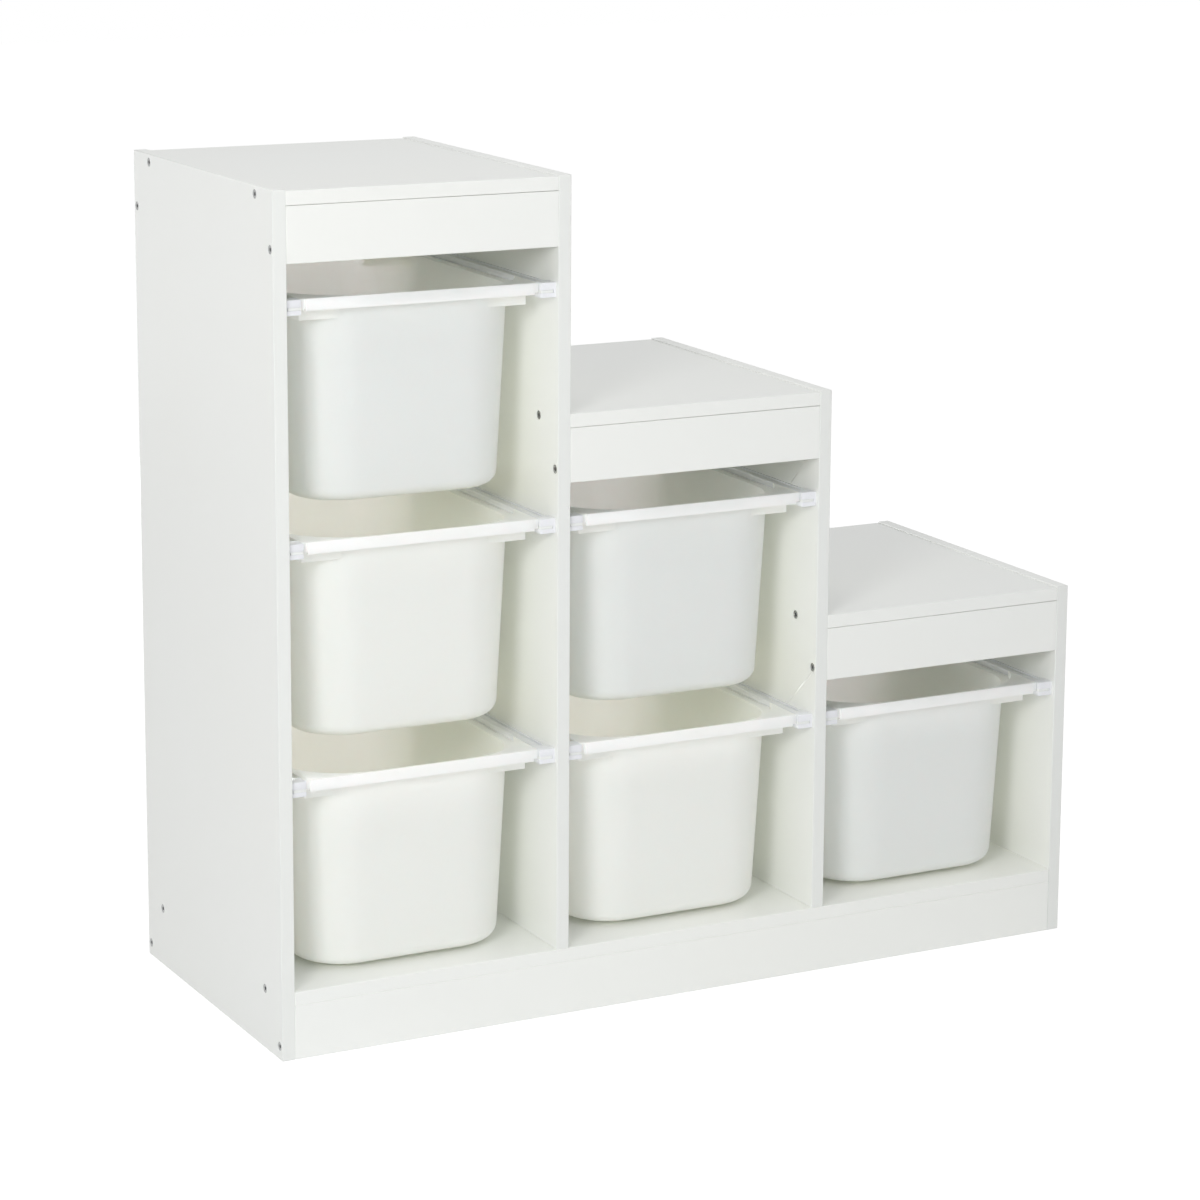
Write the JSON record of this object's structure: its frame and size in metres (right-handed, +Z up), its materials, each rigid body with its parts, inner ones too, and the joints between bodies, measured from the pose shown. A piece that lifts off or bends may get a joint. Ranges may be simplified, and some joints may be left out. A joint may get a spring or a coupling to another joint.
{
  "type": "toy storage organizer with bins",
  "caption": "Low white toy storage frame with columns that step down like stairs, holding deep open plastic bins that slide forward on plastic runners.",
  "frame": {"origin": "middle of the footprint, on the floor", "axes": "+X towards the low column, across the width; +Y towards the back; +Z up; the bins slide out towards -Y"},
  "size_m": [0.99, 0.4, 0.93],
  "materials": {
    "white_board": "white melamine-faced particle board with white edge banding",
    "bin_plastic": "injection-moulded polypropylene, satin",
    "runner_plastic": "injection-moulded polypropylene, cool white",
    "screw_steel": "zinc-plated steel",
    "dowel_wood": "plain beech"
  },
  "bodies": {
    "frame": {"back_plinth": "white_board", "base_dowels": "dowel_wood", "bottom_shelf": "white_board", "divider_foot_dowels": "dowel_wood", "divider_foot_screws": "screw_steel", "front_plinth": "white_board", "left_side_panel": "white_board", "left_side_panel_screws": "screw_steel", "low_back_rail": "white_board", "low_column_low_left_runner": "runner_plastic", "low_column_low_right_runner": "runner_plastic", "low_front_rail": "white_board", "low_top_panel": "white_board", "middle_back_rail": "white_board", "middle_column_low_left_runner": "runner_plastic", "middle_column_low_right_runner": "runner_plastic", "middle_column_middle_left_runner": "runner_plastic", "middle_column_middle_right_runner": "runner_plastic", "middle_divider": "white_board", "middle_divider_screws": "screw_steel", "middle_front_rail": "white_board", "middle_top_panel": "white_board", "rail_dowels": "dowel_wood", "right_side_panel": "white_board", "right_side_panel_screws": "screw_steel", "runner_screws": "screw_steel", "tall_back_rail": "white_board", "tall_column_high_left_runner": "runner_plastic", "tall_column_high_right_runner": "runner_plastic", "tall_column_low_left_runner": "runner_plastic", "tall_column_low_right_runner": "runner_plastic", "tall_column_middle_left_runner": "runner_plastic", "tall_column_middle_right_runner": "runner_plastic", "tall_divider": "white_board", "tall_divider_screws": "screw_steel", "tall_front_rail": "white_board", "tall_top_panel": "white_board", "top_panel_dowels": "dowel_wood"},
    "tall_column_low_bin_body": {"tall_column_low_bin": "bin_plastic"},
    "tall_column_middle_bin_body": {"tall_column_middle_bin": "bin_plastic"},
    "tall_column_high_bin_body": {"tall_column_high_bin": "bin_plastic"},
    "middle_column_low_bin_body": {"middle_column_low_bin": "bin_plastic"},
    "middle_column_middle_bin_body": {"middle_column_middle_bin": "bin_plastic"},
    "low_column_low_bin_body": {"low_column_low_bin": "bin_plastic"}
  },
  "joints": [
    {"name": "tall_column_low_bin_slide", "type": "slide", "parent": "frame", "child": "tall_column_low_bin_body", "axis": [0, -1, 0], "range_m": [0, 0.36]},
    {"name": "tall_column_middle_bin_slide", "type": "slide", "parent": "frame", "child": "tall_column_middle_bin_body", "axis": [0, -1, 0], "range_m": [0, 0.36]},
    {"name": "tall_column_high_bin_slide", "type": "slide", "parent": "frame", "child": "tall_column_high_bin_body", "axis": [0, -1, 0], "range_m": [0, 0.36]},
    {"name": "middle_column_low_bin_slide", "type": "slide", "parent": "frame", "child": "middle_column_low_bin_body", "axis": [0, -1, 0], "range_m": [0, 0.36]},
    {"name": "middle_column_middle_bin_slide", "type": "slide", "parent": "frame", "child": "middle_column_middle_bin_body", "axis": [0, -1, 0], "range_m": [0, 0.36]},
    {"name": "low_column_low_bin_slide", "type": "slide", "parent": "frame", "child": "low_column_low_bin_body", "axis": [0, -1, 0], "range_m": [0, 0.36]}
  ]
}
